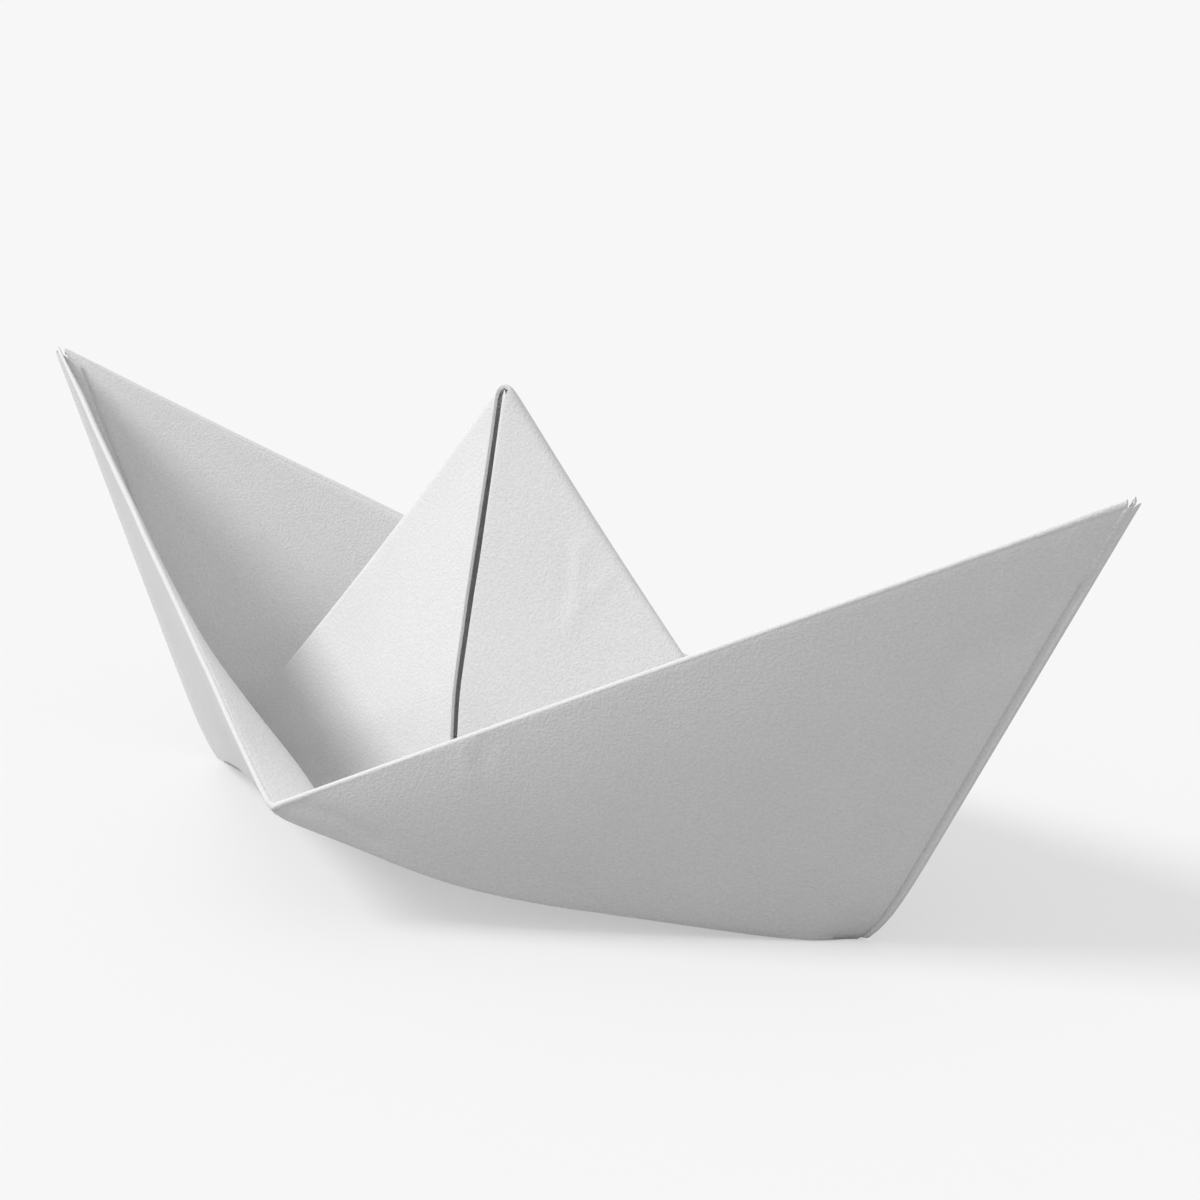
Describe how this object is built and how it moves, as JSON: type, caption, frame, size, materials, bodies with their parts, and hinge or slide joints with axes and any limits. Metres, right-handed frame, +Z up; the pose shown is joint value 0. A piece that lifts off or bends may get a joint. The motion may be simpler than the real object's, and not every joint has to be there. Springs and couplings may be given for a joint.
{
  "type": "folded paper boat",
  "caption": "White boat folded from a single sheet, with a pointed sail, an open cockpit fore and aft of it and a pocket on each side.",
  "frame": {"origin": "middle of the boat, on the surface that its bottom creases stand on", "axes": "+X along the boat to the bow, -Y towards the side whose sail face has the slit, +Z up"},
  "size_m": [0.179, 0.0842, 0.0599],
  "materials": {
    "white_paper": "matt uncoated copier paper"
  },
  "bodies": {
    "root": {"folded_sheet": "white_paper"}
  },
  "joints": []
}
